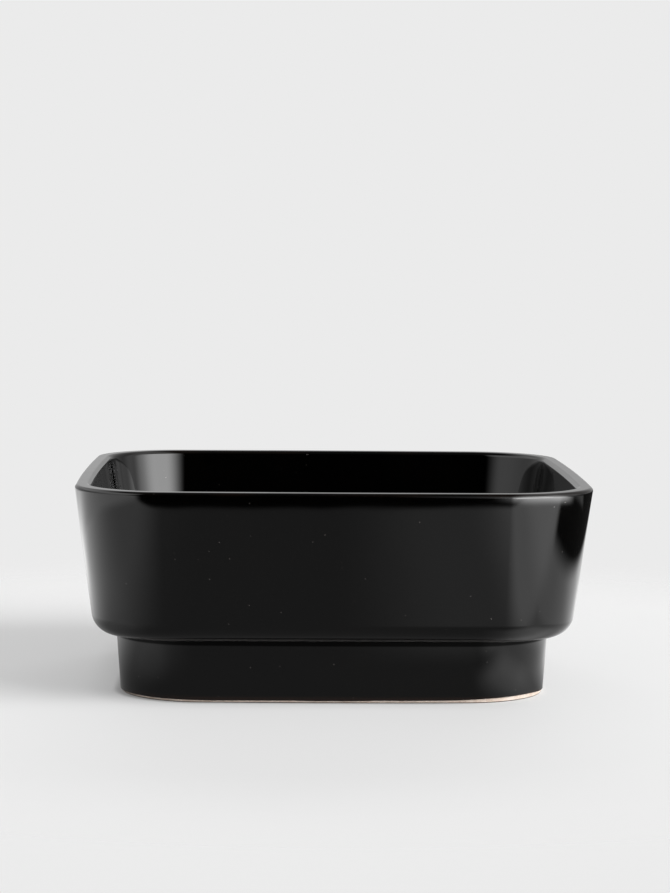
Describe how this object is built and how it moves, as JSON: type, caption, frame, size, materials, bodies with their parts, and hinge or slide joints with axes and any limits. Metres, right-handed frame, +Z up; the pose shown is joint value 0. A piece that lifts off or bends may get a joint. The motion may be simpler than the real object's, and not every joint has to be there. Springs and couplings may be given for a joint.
{
  "type": "ikebana suiban",
  "caption": "Square glazed stoneware flower basin with flared walls and rounded corners on a recessed foot, holding a lift-out pin frog for arranging stems in shallow water.",
  "frame": {"origin": "centre of the standing face, on the table", "axes": "+Z up, +X to the right as the picture shows it, -Y towards the viewer"},
  "size_m": [0.1796, 0.1796, 0.073],
  "materials": {
    "stoneware": "bare fired clay, matt, warm buff",
    "black_glaze": "gloss black iron glaze with fine pinholes, thinning to brown on edges",
    "cast_metal": "dull grey cast lead alloy",
    "brass": "satin drawn brass",
    "rubber": "matt black"
  },
  "bodies": {
    "vessel": {"bowl": "stoneware", "foot_ring": "stoneware", "glaze_coat": "black_glaze", "underside_glaze": "black_glaze"},
    "kenzan": {"kenzan_base": "cast_metal", "kenzan_needles": "brass", "kenzan_rubber_ring": "rubber"}
  },
  "joints": [
    {"name": "kenzan_lift", "type": "slide", "parent": "vessel", "child": "kenzan", "axis": [0, 0, 1], "range_m": [0, 0.09]}
  ]
}
